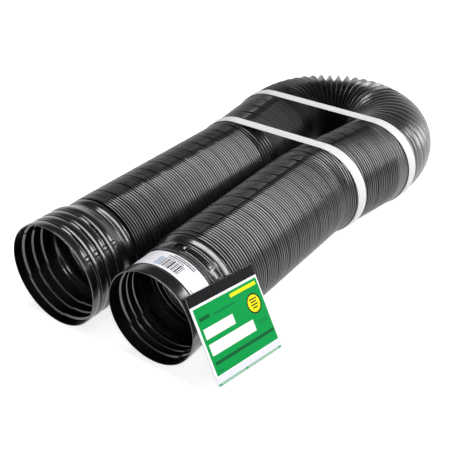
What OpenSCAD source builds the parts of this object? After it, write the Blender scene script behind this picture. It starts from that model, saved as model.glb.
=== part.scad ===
// Flexible drainage pipe: one moulded accordion pipe folded into a U and held by two flat
// straps, with a label on the right cuff and a card tag on its side.
// Millimetres. +Z is up, both mouths look toward -Y, the folded loop is at +Y.

/* [Pipe] */
// Outside radius over the pleats
pipe_r = 58.5; // [40:0.5:80]
// Depth of a pleat, from its crest to the bottom of the groove outside
pleat_depth = 8.5; // [5:0.1:12]
// Wall thickness of the pleats
wall = 0.9; // [0.8:0.05:1.5]
// Spacing of the folded pleats
pitch = 3.65; // [3.4:0.05:6]
// Width of the flat on a pleat's crest
crest_w = 1.4; // [0.8:0.1:1.6]
// Drop of a folded pleat's shoulders beside the groove
shoulder = 1.3; // [0.5:0.1:2]
// Depth of the pleats that lie over on the far side of the loop
laid_depth = 3; // [2:0.1:8]
// Share of the loop before its pleats start to lie over
laid_from = 0.51; // [0.3:0.01:0.8]
// Spacing of the opened pleats on the outside of the loop
open_pitch = 17.6; // [10:0.1:20]

/* [Path] */
// Centre of the left mouth along X
left_x = -86.6; // [-110:0.1:-80]
// Distance of the left mouth from the middle along Y
mouth_y = -297.7; // [-340:0.1:-250]
// Turn of the left leg's axis from +Y
left_turn = -1.9; // [-4:0.1:4]
// Number of folded pleats in the left leg's front run
left_pleats = 66; // [40:1:80]
// Turn at the left leg's bend
left_bend = 7.8; // [4:0.1:12]
// Number of folded pleats behind the left leg's bend
left_rear_pleats = 24; // [10:1:30]
// Length of each easement into the loop
ease_l = 60; // [30:1:80]
// Length of the round part of the loop
loop_l = 211.6; // [180:0.1:260]
// Turn of the whole loop
loop_turn = 196.7; // [180:0.1:210]
// Number of folded pleats behind the right leg's bend
right_rear_pleats = 27; // [10:1:30]
// Turn at the right leg's bend
right_bend = 10.8; // [4:0.1:14]
// Number of folded pleats in the right leg's front run
right_pleats = 60; // [40:1:80]

/* [Left cuff] */
// Length of a cuff up to the first pleat
cuff_l = 75.6; // [60:0.1:100]
// Radius over the left cuff's mouth
socket_r = 61.5; // [60:0.1:70]
// Wall of the left cuff's mouth
socket_wall = 1.5; // [1:0.1:3]
// Spacing of the left cuff's bands
band_pitch = 13.3; // [10:0.1:16]
// Depth of the grooves between the left cuff's bands
groove_depth = 2.4; // [1:0.1:3]

/* [Right cuff] */
// Radius over the right cuff's mouth
spigot_r = 55; // [50:0.1:58]
// Wall of the right cuff's mouth
spigot_wall = 1.4; // [1:0.1:3]
// Length of the plain mouth of the right cuff
spigot_l = 15.2; // [10:0.1:20]
// Spacing of the right cuff's ribs
rib_pitch = 9.6; // [8:0.1:12]
// Radius over the latch bars
latch_r = 57.8; // [57:0.1:60]

/* [Straps] */
// Width of the flat straps
strap_w = 14.5; // [8:0.5:25]
// Thickness of the flat straps
strap_t = 0.8; // [0.5:0.1:2]
// Clearance between straps and pleats
strap_gap = 0.4; // [0.2:0.1:1]
// Distance of the front strap behind the left mouth
strap_front = 334; // [300:1:345]
// Distance of the rear strap behind the left mouth
strap_rear = 437; // [400:1:445]

/* [Label and tag] */
// Length of the label along the pipe
label_l = 26.5; // [20:0.5:40]
// Angle that the label covers round the cuff
label_deg = 88; // [60:1:120]
// Thickness of the label
label_t = 0.3; // [0.2:0.05:0.6]
// Width of the card tag
tag_w = 102; // [60:1:120]
// Height of the card tag's printed part
tag_h = 81; // [60:0.5:140]
// Height of the dark strip that the tag is fixed by
tag_strip = 12; // [8:0.5:20]
// Thickness of the card tag
tag_t = 0.6; // [0.4:0.1:1]
// Tilt of the card tag from flat
tag_tilt = 56.5; // [40:0.5:80]
// Turn of the card tag in its own plane
tag_turn = -9; // [-25:0.5:25]
// Place of the tag's middle along the right leg
tag_y = 45.6; // [30:0.1:80]
// Place of the tag's middle below the line where it touches the pipe
tag_drop = 48; // [40:0.1:60]

/* [Hidden] */
$fn = 96;
eps = 0.01;
axis_z = socket_r;
socket_bore_r = socket_r - socket_wall;
spigot_bore_r = spigot_r - spigot_wall;
valley_r = pipe_r - pleat_depth;
// the cuffs' lines are drawn for a length of 75.6 and stretch with it
cuff_k = cuff_l / 75.6;
function along_cuff(v) = [for (p = v) [p[0], p[1] * cuff_k]];
rib_r = spigot_r - 0.6;
// collars under the joins between the runs
collar_o = valley_r + 1.6;
collar_i = valley_r - 1.5;
collar_l = 0.8;
left_bend_l = 24;
right_bend_l = 26;
left_l = cuff_l + left_pleats * pitch;
left_rear_l = left_rear_pleats * pitch;
right_l = cuff_l + right_pleats * pitch;
right_rear_l = right_rear_pleats * pitch;
peak_turn = loop_turn / (loop_l + ease_l);

// the path as arcs: [length, turn to the left in degrees]
segs = [
    [left_l, 0], [left_bend_l, left_bend], [left_rear_l, 0],
    for (w = [1/6, 1/2, 5/6]) [ease_l / 3, -peak_turn * w * ease_l / 3],
    [loop_l, -peak_turn * loop_l],
    for (w = [5/6, 1/2, 1/6]) [ease_l / 3, -peak_turn * w * ease_l / 3],
    [right_rear_l, 0], [right_bend_l, right_bend], [right_l, 0]];

// the frame after walking l along an arc of k degrees per mm: [s, x, y, heading]
function step(f, l, k) = let (h = f[3] + k * l)
    abs(k) < 1e-6
    ? [f[0] + l, f[1] - l * sin(f[3]), f[2] + l * cos(f[3]), h]
    : let (q = 180 / PI / k)
      [f[0] + l, f[1] + q * (cos(h) - cos(f[3])), f[2] + q * (sin(h) - sin(f[3])), h];
starts = [for (i = 0, f = [0, left_x, mouth_y, left_turn]; i <= len(segs);
    f = i < len(segs) ? step(f, segs[i][0], segs[i][1] / segs[i][0]) : f, i = i + 1) f];
path_l = starts[len(segs)][0];
function seg_at(s, i = 0) = i + 1 >= len(segs) || s < starts[i + 1][0] ? i : seg_at(s, i + 1);
function turn_at(s) = let (i = seg_at(s)) segs[i][1] / segs[i][0];
function at(s) = let (i = seg_at(s)) step(starts[i], s - starts[i][0], turn_at(s));

// length of the next pleat on the axis: folded on the inside of the bend until the outside is
// fully open
function pleat_l(s) = let (c = abs(turn_at(s)) * PI / 180 * pipe_r)
    min(pitch / max(1 - c, 0.05), open_pitch / (1 + c));

module along(f) translate([f[1], f[2], axis_z]) rotate([0, 0, f[3]]) rotate([-90, 0, 0]) children();

// a run of folded pleats as [radius, distance] points, outside and inside: a rounded crest, two
// shoulders and a narrow deep groove
function pleats_out(s0, n) = [for (k = [0:n - 1]) let (c = s0 + (k + 0.5) * pitch) each [
    [pipe_r - shoulder, c - 0.37 * pitch], [pipe_r, c - crest_w / 2], [pipe_r, c + crest_w / 2],
    [pipe_r - shoulder, c + 0.37 * pitch], if (k < n - 1) [valley_r, c + 0.5 * pitch]]];
function pleats_in(s0, n) = [for (k = [0:n - 1]) let (c = s0 + (k + 0.5) * pitch) each [
    [valley_r - wall, c - 0.31 * pitch], [pipe_r - 1.5 * wall, c - 0.14 * pitch],
    [pipe_r - 1.5 * wall, c + 0.14 * pitch], [valley_r - wall, c + 0.31 * pitch]]];
function back(v) = [for (i = [len(v) - 1:-1:0]) v[i]];

function front_collar(s) = [[collar_o, s - collar_l], [collar_o, s + collar_l + 0.4]];
module run(outside, inside) rotate_extrude() polygon(concat(outside, back(inside)));

// left cuff: four bands with narrow grooves, a sloped shoulder, a neck and a bead
function socket_out() = along_cuff(concat([[socket_r - 0.9, 0], [socket_r - 0.4, 0.7]],
    [for (k = [0:3]) let (b = k * band_pitch, r = k == 0 ? socket_r : socket_r - 0.3) each [
        [r, b + 3.4], [r, b + 7.4], [r - 0.9, b + 11.1],
        if (k < 3) [r - 0.9 - groove_depth, b + 12.3],
        if (k < 3) [socket_r - 1.2, b + 14]]],
    [for (p = [[-0.9, 57.5], [-2.5, 61.5], [-2.5, 63.4], [-1.1, 65.5], [-0.6, 69.3], [-1.3, 72.6],
        [-2.9, 73.6], [-pleat_depth, 75.6]]) [pipe_r + p[0], p[1]]]));
function socket_in() = along_cuff(concat([[socket_bore_r, 0], [socket_bore_r, 11.3]],
    [for (k = [0:2]) let (b = k * band_pitch) each [
        [socket_bore_r - 3, b + 12.1], [socket_bore_r - 3, b + 12.7], [socket_bore_r - 0.8, b + 14],
        [socket_bore_r - 0.8, b + 24.4]]],
    [for (p = [[-2.3, 57], [-3.9, 61], [-3.9, 63.8], [-2.5, 66], [-2.1, 69.3], [-2.7, 72.2],
        [-pleat_depth - wall, 74]]) [pipe_r + p[0], p[1]]]));

// right cuff: plain mouth, three ribs under the label, latch ring, neck and bead
function spigot_out() = along_cuff(concat([[spigot_r - 0.9, 0], [spigot_r - 0.3, 0.9], [spigot_r, 2.4],
     [spigot_r, spigot_l]],
    [for (k = [0:2]) let (b = spigot_l + k * rib_pitch) each [
        [rib_r - 1.2, b + 0.8], [rib_r - 1.2, b + 2], [rib_r, b + 3], [rib_r, b + 9.2]]],
    [for (p = [[-1.6, 44.8], [-1.6, 46.8], [0, 47.6], [1.2, 48.6], [1.2, 60.8], [-1, 62],
        [-1, 65.5]]) [spigot_r + p[0], p[1]]],
    [for (p = [[-1.1, 67.6], [-0.4, 71.5], [-1, 75], [-2.9, 75.2], [-pleat_depth, 75.6]])
        [pipe_r + p[0], p[1]]]));
function spigot_in() = along_cuff(concat([[spigot_bore_r, 0], [spigot_bore_r, spigot_l]],
    [for (k = [0:2]) let (b = spigot_l + k * rib_pitch) each [
        [spigot_bore_r - 2, b + 1], [spigot_bore_r - 2, b + 1.8], [spigot_bore_r - 0.7, b + 2.9],
        [spigot_bore_r - 0.7, b + 9]]],
    [for (p = [[-1.6, 45], [-1.6, 46.6], [-0.6, 48], [0, 49.4], [0, 60.4], [-1, 61.6],
        [-1, 65.2]]) [spigot_bore_r + p[0], p[1]]],
    [for (p = [[-2.7, 68], [-2.1, 71.5], [-2.7, 73.4], [-pleat_depth - wall, 75.1]])
        [pipe_r + p[0], p[1]]]));

// outward marks of the left cuff: slot pairs beside each groove and one loop-shaped mark
module socket_marks() {
    for (k = [0:2], a = [50.6, 54.6])
        rotate([0, 0, a]) translate([-0.55, -socket_r - 1, (6.1 + k * band_pitch) * cuff_k])
            cube([1.1, 1.75, 6.6 * cuff_k]);
    for (a = [50.6, 54.6]) rotate([0, 0, a])
        translate([-0.55, -socket_r - 1, 49.3 * cuff_k - 3.6]) cube([1.1, 1.9, 3.6]);
    rotate([0, 0, 52.6]) translate([0, -socket_r + 0.9, 49.3 * cuff_k]) rotate([90, 0, 0]) difference() {
        cylinder(r = 2.65, h = 2);
        translate([0, 0, -1]) cylinder(r = 1.55, h = 4);
        translate([-4, -8, -1]) cube([8, 8, 4]);
    }
}

// raised latch bar and catch block, a from and to angle round the cuff from the top
module arc_block(r0, r1, s0, s1, a0, a1)
    rotate([0, 0, -90 + a0]) rotate_extrude(angle = a1 - a0)
        translate([r0, s0 * cuff_k]) square([r1 - r0, (s1 - s0) * cuff_k]);
module latch() {
    arc_block(spigot_r + 0.4, latch_r, 49, 58.6, 7.5, 40);
    arc_block(spigot_r + 0.4, latch_r - 0.7, 53, 60.6, 42, 51.5);
}
module latch_pocket() arc_block(spigot_r - 0.1, latch_r + 2, 51.3, 60.7, -10, 0);

// a bent run of pleats between s0 and s1, as crest and groove rings in planes across the path
sides = 28;
function ring_list(s0, s1) = let (
    raw = [for (s = s0; s < s1 - 0.02; s = s + pleat_l(s)) s],
    n = len(raw), q = (s1 - s0) / (raw[n - 1] + pleat_l(raw[n - 1]) - s0))
    [for (i = [0:n - 1]) let (a = s0 + (raw[i] - s0) * q,
        b = i < n - 1 ? s0 + (raw[i + 1] - s0) * q : s1) each [
            if (i > 0) [a, 0], [(a + b) / 2, 1]]];
// the pleats lie over, and are shallower, on the far side of the loop
function laid(s) = let (u = min(max(((s - starts[6][0]) / loop_l - laid_from) / 0.2, 0), 1))
    u * u * (3 - 2 * u);
function depth_at(s) = pleat_depth + (laid_depth - pleat_depth) * laid(s);
// each ring: frame, half pleat length, and 1 on a crest, 0 in a groove, 2 inside a collar
function rings(s0, s1) = let (m = ring_list(s0, s1)) concat(
    [[at(s0 - 0.35), 1, 2, 0], [at(s0 + collar_l + 0.2), 1, 2, 0]],
    [for (i = [0:len(m) - 1]) [at(m[i][0]),
        i == 0 || i == len(m) - 1 ? (m[1][0] - m[0][0]) : (m[i + 1][0] - m[i - 1][0]) / 2,
        m[i][1], turn_at(m[i][0]) * PI / 180]],
    [[at(s1 - collar_l - 0.2), 1, 2, 0], [at(s1 + 0.35), 1, 2, 0]]);
function ring_pt(f, r, a) = [f[1] + r * cos(a) * cos(f[3]), f[2] + r * cos(a) * sin(f[3]),
    axis_z + r * sin(a)];
function thick(g, a) = let (h = g[1] * (1 + g[3] * pipe_r * cos(a)))
    wall * norm([h, depth_at(g[0][0])]) / max(h, 0.3);
function out_r(g) = g[2] == 2 ? collar_o - 0.4 : g[2] == 1 ? pipe_r : pipe_r - depth_at(g[0][0]);
function in_r(g, a) = g[2] == 2 ? collar_i + 1.3
    : g[2] == 1 ? max(pipe_r - thick(g, a), pipe_r - depth_at(g[0][0]) - wall + 0.4)
    : pipe_r - depth_at(g[0][0]) - min(max(0.8 * thick(g, a), wall), 1.5);
module bent_run(s0, s1) {
    rs = rings(s0, s1);
    n = len(rs);
    m = sides / 2;
    w = sides + m;
    pts = [for (g = rs) each concat(
        [for (i = [0:sides - 1]) let (a = 360 * i / sides) ring_pt(g[0], out_r(g), a)],
        [for (i = [0:m - 1]) let (a = 360 * i / m) ring_pt(g[0], in_r(g, a), a)])];
    cap = [for (j = [0:m - 1]) let (o = 2 * j, p = (2 * j + 2) % sides, q = sides + (j + 1) % m) each [
        [o, o + 1, sides + j], [o + 1, q, sides + j], [o + 1, p, q]]];
    polyhedron(pts, concat(
        [for (k = [0:n - 2], i = [0:sides - 1]) let (b = k * w, c = b + w, i2 = (i + 1) % sides) each
            [[b + i, b + i2, c + i], [b + i2, c + i2, c + i]]],
        [for (k = [0:n - 2], j = [0:m - 1]) let (b = k * w + sides, c = b + w, j2 = (j + 1) % m) each
            [[b + j, c + j, b + j2], [b + j2, c + j, c + j2]]],
        [for (t = cap) [t[0], t[2], t[1]]],
        [for (t = cap) let (z = (n - 1) * w) [t[0] + z, t[1] + z, t[2] + z]]));
}

module pipe() color([0.045, 0.047, 0.05]) {
    // left leg: cuff, folded pleats, end collar
    along(starts[0]) difference() {
        run(concat(socket_out(), pleats_out(cuff_l, left_pleats), front_collar(left_l)),
            concat(socket_in(), pleats_in(cuff_l, left_pleats),
                [[collar_i, left_l - collar_l], [collar_i, left_l + collar_l + 0.4]]));
        socket_marks();
    }
    // folded run behind the left bend
    along(starts[2]) rear_run(left_rear_pleats);
    // right leg, drawn from its mouth back
    along([0, starts[len(segs)][1], starts[len(segs)][2], starts[len(segs)][3] + 180]) difference() {
        union() {
            run(concat(spigot_out(), pleats_out(cuff_l, right_pleats), front_collar(right_l)),
                concat(spigot_in(), pleats_in(cuff_l, right_pleats),
                    [[collar_i, right_l - collar_l], [collar_i, right_l + collar_l + 0.4]]));
            latch();
            rotate([0, 0, 180]) latch();
        }
        latch_pocket();
        rotate([0, 0, 180]) latch_pocket();
    }
    along(starts[len(segs) - 3]) rear_run(right_rear_pleats);
    // the bends and the loop
    bent_run(starts[1][0], starts[2][0]);
    bent_run(starts[3][0], starts[len(segs) - 3][0]);
    bent_run(starts[len(segs) - 2][0], starts[len(segs) - 1][0]);
}
module rear_run(n) run(
    concat([[collar_o, -collar_l - 0.4], [collar_o, collar_l]], pleats_out(0, n),
        front_collar(n * pitch)),
    concat([[collar_i, -collar_l - 0.4], [collar_i, collar_l]], pleats_in(0, n),
        [[collar_i, n * pitch - collar_l], [collar_i, n * pitch + collar_l + 0.4]]));

// a closed band round both legs, in a plane across the legs; its sides follow the legs' slant
module strap(s) {
    y0 = at(s)[2] - strap_w / 2;
    difference() {
        hull() for (y = [y0, y0 + strap_w - eps]) strap_slice(y, eps, pipe_r + strap_gap + strap_t);
        hull() for (y = [y0 - eps, y0 + strap_w - eps]) strap_slice(y, 2 * eps, pipe_r + strap_gap);
    }
}
// frame of the left leg (from s up) and of the right leg (from s down) where it crosses y
function left_at(y, s = 300) = at(s)[2] >= y ? at(s) : left_at(y, s + 0.25);
function right_at(y, s = path_l - 290) = at(s)[2] >= y ? at(s) : right_at(y, s - 0.25);
module strap_slice(y, w, r) {
    l = left_at(y);
    q = right_at(y);
    translate([0, y, axis_z]) rotate([-90, 0, 0]) linear_extrude(height = w) {
        translate([l[1], 0]) scale([1 / abs(cos(l[3])), 1]) circle(r = r);
        translate([q[1], 0]) scale([1 / abs(cos(q[3])), 1]) circle(r = r);
        translate([l[1], -r]) square([q[1] - l[1], 2 * r]);
    }
}
module front_strap() color([0.93, 0.93, 0.92]) strap(strap_front);
module rear_strap() color([0.93, 0.93, 0.92]) strap(strap_rear);

module on_right_leg() along([0, starts[len(segs)][1], starts[len(segs)][2], starts[len(segs)][3] + 180])
    children();
module label() color([0.95, 0.95, 0.96]) on_right_leg()
    arc_block(rib_r + 0.1, rib_r + 0.1 + label_t, spigot_l + 1.2, spigot_l + 1.2 + label_l,
        52.5 - label_deg, 52.5);

module tag() color([0.02, 0.62, 0.3]) {
    f = starts[len(segs)];
    translate([f[1], f[2], axis_z]) rotate([0, tag_tilt, 0])
        translate([tag_drop, tag_y, pipe_r + 0.3]) rotate([0, 0, tag_turn])
            translate([-tag_h / 2 - tag_strip, -tag_w / 2, 0]) cube([tag_h + tag_strip, tag_w, tag_t]);
}

pipe();
front_strap();
rear_strap();
label();
tag();
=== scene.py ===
"""Looks of a folded accordion drainage pipe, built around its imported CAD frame."""

import math

import bmesh
import bpy
import numpy as np
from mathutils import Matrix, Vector
from bpy.props import FloatProperty, FloatVectorProperty, IntProperty, PointerProperty


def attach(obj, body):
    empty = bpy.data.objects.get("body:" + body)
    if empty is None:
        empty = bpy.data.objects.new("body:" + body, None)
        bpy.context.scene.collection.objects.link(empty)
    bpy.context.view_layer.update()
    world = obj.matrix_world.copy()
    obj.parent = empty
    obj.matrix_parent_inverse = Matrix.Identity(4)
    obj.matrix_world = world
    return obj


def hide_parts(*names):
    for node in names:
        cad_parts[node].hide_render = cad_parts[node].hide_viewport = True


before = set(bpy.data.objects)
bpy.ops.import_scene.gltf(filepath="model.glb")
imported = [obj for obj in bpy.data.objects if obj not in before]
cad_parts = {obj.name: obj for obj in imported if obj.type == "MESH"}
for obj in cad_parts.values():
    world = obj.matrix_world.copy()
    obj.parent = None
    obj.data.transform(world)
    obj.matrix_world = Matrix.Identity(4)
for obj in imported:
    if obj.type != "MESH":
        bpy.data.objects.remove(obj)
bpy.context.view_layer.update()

bl_info = {
    "name": "Folded drainage pipe",
    "version": (1, 0, 0),
    "blender": (4, 5, 0),
    "location": "View3D > Sidebar > Drainage pipe",
    "description": "Pleats, cuffs, straps, label and tag of a folded drainage pipe",
    "category": "Object",
}

MM = 0.001


def linear_colour(text):
    """An sRGB hex colour as linear RGB."""
    channels = [int(text[i:i + 2], 16) / 255 for i in (1, 3, 5)]
    return tuple(c / 12.92 if c <= 0.04045 else ((c + 0.055) / 1.055) ** 2.4 for c in channels)


# ---------------------------------------------------------------- settings


class PipeSizes(bpy.types.PropertyGroup):
    """Sizes of the pipe and its two cuffs"""

    pipe_radius: FloatProperty(name="Pipe radius", description="Over the pleats", default=0.0585, unit="LENGTH")
    pleat_depth: FloatProperty(name="Pleat depth", description="Crest to groove", default=0.0085, unit="LENGTH")
    pleat_pitch: FloatProperty(name="Folded pitch", description="Spacing of folded pleats", default=0.00365, unit="LENGTH")
    open_pitch: FloatProperty(name="Open pitch", description="Spacing on the loop's outside", default=0.0176, unit="LENGTH")
    wall: FloatProperty(name="Wall", description="Thickness of a pleat's wall", default=0.0009, unit="LENGTH")
    axis_height: FloatProperty(name="Axis height", description="Height of the pipe's axis", default=0.0615, unit="LENGTH")
    cuff_length: FloatProperty(name="Cuff length", description="Mouth to first pleat", default=0.0756, unit="LENGTH")
    socket_radius: FloatProperty(name="Socket radius", description="Over the left cuff", default=0.0615, unit="LENGTH")
    spigot_radius: FloatProperty(name="Spigot radius", description="Over the right cuff", default=0.055, unit="LENGTH")
    sides: IntProperty(name="Sides", description="Faces round the pipe", default=96, min=16, max=160)


class TrimSizes(bpy.types.PropertyGroup):
    """Sizes of the straps, the label and the tag"""

    strap_width: FloatProperty(name="Strap width", description="Width of a strap", default=0.0145, unit="LENGTH")
    strap_thickness: FloatProperty(name="Strap thickness", description="Thickness of a strap", default=0.0008, unit="LENGTH")
    label_length: FloatProperty(name="Label length", description="Along the cuff", default=0.0265, unit="LENGTH")
    label_angle: FloatProperty(name="Label angle", description="Round the cuff", default=math.radians(88), subtype="ANGLE")
    tag_width: FloatProperty(name="Tag width", description="Along its fixed edge", default=0.102, unit="LENGTH")
    tag_height: FloatProperty(name="Tag height", description="Printed part", default=0.081, unit="LENGTH")


class PipeColours(bpy.types.PropertyGroup):
    """Colours of the plastics, papers and prints"""

    pleats: FloatVectorProperty(name="Pleats", subtype="COLOR", default=linear_colour("#1a1b1c"), min=0, max=1)
    cuffs: FloatVectorProperty(name="Cuffs", subtype="COLOR", default=linear_colour("#0b0c0d"), min=0, max=1)
    strap: FloatVectorProperty(name="Strap", subtype="COLOR", default=linear_colour("#eeefee"), min=0, max=1)
    paper: FloatVectorProperty(name="Label paper", subtype="COLOR", default=linear_colour("#f1f1f6"), min=0, max=1)
    card: FloatVectorProperty(name="Card green", subtype="COLOR", default=linear_colour("#009a48"), min=0, max=1)


MATERIALS = {}


def sizes():
    return bpy.context.scene.pipe_sizes


def trims():
    return bpy.context.scene.trim_sizes


def colours():
    return bpy.context.scene.pipe_colours


# -------------------------------------------------------------------- path

# Left mouth, and the turns of the axis: (length mm, turn to the left in degrees)
LEFT_MOUTH = (0.0, -86.6, -297.7, math.radians(-1.9))
LEFT_RUN, LEFT_BEND, LEFT_REAR = (75.6 + 66 * 3.65, 0.0), (24.0, 7.8), (24 * 3.65, 0.0)
EASE, ROUND, LOOP_TURN = 60.0, 211.6, 196.7
RIGHT_REAR, RIGHT_BEND, RIGHT_RUN = (27 * 3.65, 0.0), (26.0, 10.8), (75.6 + 60 * 3.65, 0.0)
PEAK = LOOP_TURN / (ROUND + EASE)
ARCS = (
    [LEFT_RUN, LEFT_BEND, LEFT_REAR]
    + [(EASE / 3, -PEAK * w * EASE / 3) for w in (1 / 6, 1 / 2, 5 / 6)]
    + [(ROUND, -PEAK * ROUND)]
    + [(EASE / 3, -PEAK * w * EASE / 3) for w in (5 / 6, 1 / 2, 1 / 6)]
    + [RIGHT_REAR, RIGHT_BEND, RIGHT_RUN]
)


def walk(place, length, curl):
    """The place (distance, x, y, heading) after an arc of curl radians per mm."""
    s, x, y, h = place
    turned = h + curl * length
    if abs(curl) < 1e-9:
        return s + length, x - length * math.sin(h), y + length * math.cos(h), turned
    q = 1 / curl
    return (s + length, x + q * (math.cos(turned) - math.cos(h)),
            y + q * (math.sin(turned) - math.sin(h)), turned)


ARC_STARTS = [LEFT_MOUTH]
for arc_length, arc_turn in ARCS:
    ARC_STARTS.append(walk(ARC_STARTS[-1], arc_length, math.radians(arc_turn) / arc_length))
PATH_LENGTH = ARC_STARTS[-1][0]
LOOP_START, LOOP_END = ARC_STARTS[3][0], ARC_STARTS[-4][0]


def arc_at(s):
    return max([i for i in range(len(ARCS)) if ARC_STARTS[i][0] <= s + 1e-9], default=0)


def curl_at(s):
    i = arc_at(s)
    return math.radians(ARCS[i][1]) / ARCS[i][0]


def place_at(s):
    return walk(ARC_STARTS[arc_at(s)], s - ARC_STARTS[arc_at(s)][0], curl_at(s))


def fold_length(s):
    """Length on the axis of the pleat that starts at s: folded inside, at most open outside."""
    z = sizes()
    c = abs(curl_at(s)) * z.pipe_radius / MM
    return min(z.pleat_pitch / MM / max(1 - c, 0.05), z.open_pitch / MM / (1 + c))


def pleat_edges(s0, s1):
    """The grooves between s0 and s1, evenly stretched to end on s1."""
    raw = [s0]
    while raw[-1] < s1 - 0.02:
        raw.append(raw[-1] + fold_length(raw[-1]))
    stretch = (s1 - s0) / (raw[-1] - s0)
    return [s0 + (r - s0) * stretch for r in raw]


# ------------------------------------------------------------ mesh helpers


def new_object(name, vertices, faces, material, uv=None, edges=()):
    mesh = bpy.data.meshes.new(name)
    mesh.from_pydata([tuple(v) for v in vertices], list(edges), [tuple(f) for f in faces])
    if uv is not None:
        layer = mesh.uv_layers.new(name="UVMap")
        loops = np.zeros(len(mesh.loops), np.int32)
        mesh.loops.foreach_get("vertex_index", loops)
        layer.data.foreach_set("uv", np.asarray(uv, np.float32)[loops].ravel())
    obj = bpy.data.objects.new(name, mesh)
    bpy.context.scene.collection.objects.link(obj)
    if material:
        mesh.materials.append(material)
    return obj


def smooth(obj, degrees=40):
    obj.data.shade_smooth()
    obj.data.set_sharp_from_angle(angle=math.radians(degrees))


def outward(obj):
    bm = bmesh.new()
    bm.from_mesh(obj.data)
    bmesh.ops.remove_doubles(bm, verts=bm.verts, dist=1e-6)
    bmesh.ops.recalc_face_normals(bm, faces=bm.faces)
    bm.to_mesh(obj.data)
    bm.free()


def bake_modifiers(obj):
    """Replaces the object's mesh with what its modifiers make of it."""
    bpy.context.view_layer.update()
    depsgraph = bpy.context.evaluated_depsgraph_get()
    mesh = bpy.data.meshes.new_from_object(obj.evaluated_get(depsgraph), depsgraph=depsgraph)
    obj.modifiers.clear()
    obj.data = mesh
    return obj


def finish_piece(obj, slot, *nodes):
    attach(obj, "root")
    if nodes:
        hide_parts(*nodes)
    return obj


def join(name, objects):
    """One object from several."""
    bm = bmesh.new()
    materials = []
    for o in objects:
        mesh = o.data
        base = len(materials)
        materials += list(mesh.materials)
        start = len(bm.faces)
        bm.from_mesh(mesh)
        bm.faces.ensure_lookup_table()
        for f in bm.faces[start:]:
            f.material_index += base
    out = bpy.data.meshes.new(name)
    bm.to_mesh(out)
    bm.free()
    for m in materials:
        out.materials.append(m)
    for o in objects:
        bpy.data.objects.remove(o)
    obj = bpy.data.objects.new(name, out)
    bpy.context.scene.collection.objects.link(obj)
    return obj


# --------------------------------------------------------------- materials


def add_node(tree, kind, inputs=None, **settings):
    """Adds a node, sets its settings, and sets or links its inputs."""
    node = tree.nodes.new(kind)
    for key, value in settings.items():
        setattr(node, key, value)
    for key, value in (inputs or {}).items():
        socket = node.inputs[key]
        if isinstance(value, bpy.types.NodeSocket):
            tree.links.new(value, socket)
        else:
            socket.default_value = value
    return node


def math_node(tree, operation, a, b=0.0, c=0.0):
    return add_node(tree, "ShaderNodeMath", {0: a, 1: b, 2: c}, operation=operation).outputs[0]


def plastic(name, roughness, specular=0.5, ior=1.5):
    material = bpy.data.materials.new(name)
    material.use_nodes = True
    tree = material.node_tree
    shader = tree.nodes["Principled BSDF"]
    shader.inputs["Roughness"].default_value = roughness
    shader.inputs["IOR"].default_value = ior
    shader.inputs["Specular IOR Level"].default_value = specular
    MATERIALS[name] = material
    return material, tree, shader


def rgba(colour):
    return (*colour, 1.0)


def noise(tree, scale, detail=3.0, vector=None, **more):
    if vector is None:
        vector = add_node(tree, "ShaderNodeTexCoord").outputs["Object"]
    return add_node(tree, "ShaderNodeTexNoise", {"Vector": vector, "Scale": scale, "Detail": detail, **more})


def ramp(tree, value, low, high, to_low, to_high):
    return add_node(tree, "ShaderNodeMapRange", {0: value, 1: low, 2: high, 3: to_low, 4: to_high}).outputs[0]


def make_pleat_plastic():
    # Blow-moulded black polyethylene: satin, with a faint grey bloom and slight waviness
    material, tree, shader = plastic("blow_moulded_polyethylene", 0.3, 1.0, 1.58)
    cloud = noise(tree, 45.0, 4.0)
    grain = noise(tree, 900.0, 2.0)
    mix = add_node(tree, "ShaderNodeMix", {"Factor": ramp(tree, cloud.outputs["Fac"], 0.35, 0.7, 0.0, 1.0),
                                           "A": rgba(colours().pleats),
                                           "B": rgba([c * 1.35 for c in colours().pleats])}, data_type="RGBA")
    # painted shade: deep in the grooves the base colour falls to a fifth of the pleat colour
    drop = add_node(tree, "ShaderNodeAttribute", attribute_name="drop", attribute_type="GEOMETRY").outputs["Fac"]
    depth = ramp(tree, drop, 0.0006, 0.0014, 0.0, 1.0)
    deep = add_node(tree, "ShaderNodeMix", {"Factor": depth, "A": mix.outputs["Result"],
                                            "B": rgba([c * 0.2 for c in colours().pleats])}, data_type="RGBA")
    tree.links.new(deep.outputs["Result"], shader.inputs["Base Color"])
    tree.links.new(ramp(tree, cloud.outputs["Fac"], 0.3, 0.7, 0.28, 0.32), shader.inputs["Roughness"])
    bump = add_node(tree, "ShaderNodeBump", {"Strength": 0.06, "Distance": 0.0002, "Height": grain.outputs["Fac"]})
    tree.links.new(bump.outputs["Normal"], shader.inputs["Normal"])
    return material


def make_cuff_plastic():
    # The cuffs' thicker polyethylene comes off a polished mould: glossy, with flow waves
    material, tree, shader = plastic("polished_mould_polyethylene", 0.2, 1.0, 1.58)
    waves = noise(tree, 60.0, 2.0)
    mix = add_node(tree, "ShaderNodeMix", {"Factor": ramp(tree, waves.outputs["Fac"], 0.4, 0.7, 0.0, 1.0),
                                           "A": rgba(colours().cuffs),
                                           "B": rgba([c * 1.3 for c in colours().cuffs])}, data_type="RGBA")
    tree.links.new(mix.outputs["Result"], shader.inputs["Base Color"])
    tree.links.new(ramp(tree, waves.outputs["Fac"], 0.3, 0.7, 0.18, 0.22), shader.inputs["Roughness"])
    bump = add_node(tree, "ShaderNodeBump", {"Strength": 0.012, "Distance": 0.0006, "Height": waves.outputs["Fac"]})
    tree.links.new(bump.outputs["Normal"], shader.inputs["Normal"])
    return material


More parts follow.
